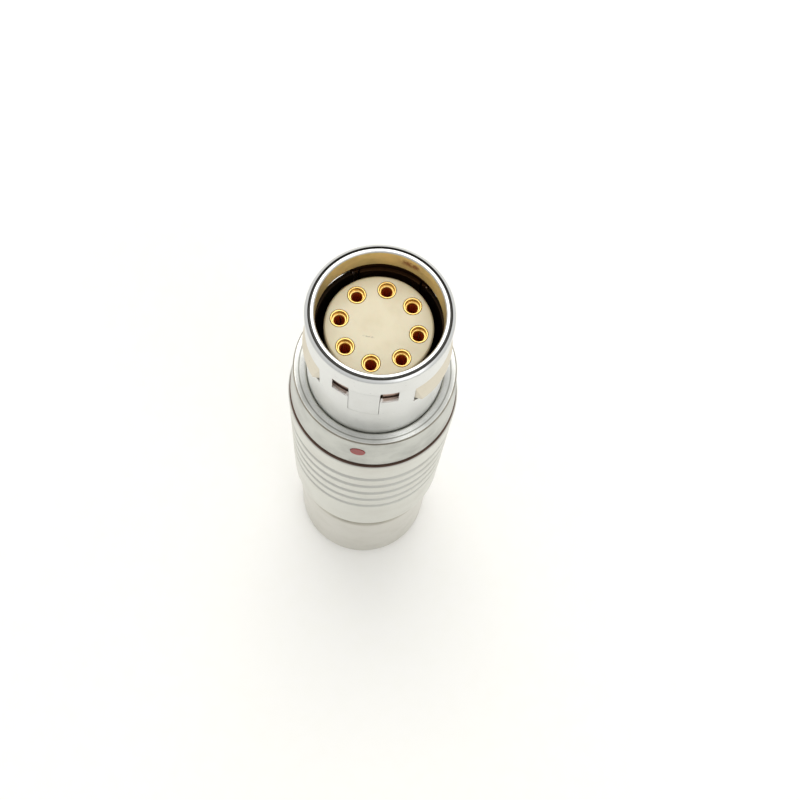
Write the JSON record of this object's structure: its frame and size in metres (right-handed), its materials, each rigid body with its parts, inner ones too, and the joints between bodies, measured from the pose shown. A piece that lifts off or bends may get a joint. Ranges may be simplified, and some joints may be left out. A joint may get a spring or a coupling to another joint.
{
  "type": "push pull circular connector",
  "caption": "Straight push-pull circular cable plug with socket contacts in an ivory insert, a windowed nose with latch claws, a grooved release sleeve and a back nut.",
  "frame": {"origin": "centre of the back nut's flat base, on the plug's axis", "axes": "+Z along the plug's axis towards the mating nose; the alignment key and the red dot face -Y; +X to the right of the key"},
  "size_m": [0.015, 0.015, 0.053],
  "materials": {
    "bright_nickel": "polished nickel plate on brass",
    "satin_nickel": "satin matt chrome plate on brass",
    "pearl_nickel": "matt nickel plate, warm",
    "dark_oxide": "blackened",
    "steel": "plain",
    "inner_brass": "plain turned",
    "red_enamel": "gloss enamel",
    "ivory_plastic": "moulded, matt",
    "gold": "gold plate, polished"
  },
  "bodies": {
    "back_nut": {"back_nut": "satin_nickel"},
    "collet": {"collet": "inner_brass"},
    "core": {"core_body": "inner_brass", "latch_cage": "dark_oxide", "return_spring": "steel", "front_insulator": "ivory_plastic", "rear_insulator": "ivory_plastic", "contact_1": "gold", "contact_2": "gold", "contact_3": "gold", "contact_4": "gold", "contact_5": "gold", "contact_6": "gold", "contact_7": "gold", "contact_8": "gold", "insert_carrier_right": "inner_brass", "insert_carrier_left": "inner_brass", "earthing_cone": "inner_brass"},
    "release_shell": {"nose_tube": "bright_nickel", "alignment_key": "bright_nickel", "release_sleeve": "satin_nickel", "alignment_dot": "red_enamel", "retaining_ring": "steel"},
    "claw_right": {"latch_claw_right": "pearl_nickel"},
    "claw_left": {"latch_claw_left": "pearl_nickel"}
  },
  "joints": [
    {"name": "nut_turn", "type": "hinge", "parent": "back_nut", "child": "collet", "pos_m": [0, 0, 0.01], "axis": [0, 0, 1], "range_deg": [0, 1800]},
    {"name": "nut_travel", "type": "slide", "parent": "collet", "child": "core", "axis": [0, 0, 1], "range_m": [0, 0.00376]},
    {"name": "release_slide", "type": "slide", "parent": "core", "child": "release_shell", "axis": [0, 0, -1], "range_m": [0, 0.001], "stiffness_N_per_m": 1500, "springref_m": -0.003, "deforming": ["return_spring"]},
    {"name": "claw_right_swing", "type": "hinge", "parent": "core", "child": "claw_right", "pos_m": [0.0051, 0, 0.0396], "axis": [0, -1, 0], "range_deg": [0, 3.1]},
    {"name": "claw_left_swing", "type": "hinge", "parent": "core", "child": "claw_left", "pos_m": [-0.0051, 0, 0.0396], "axis": [0, 1, 0], "range_deg": [0, 3.1]}
  ],
  "couplings": [
    {"joint": "nut_travel", "follows": "nut_turn", "m_per_rad": 0.00011937},
    {"joint": "claw_right_swing", "follows": "release_slide", "rad_per_m": 54},
    {"joint": "claw_left_swing", "follows": "release_slide", "rad_per_m": 54}
  ]
}
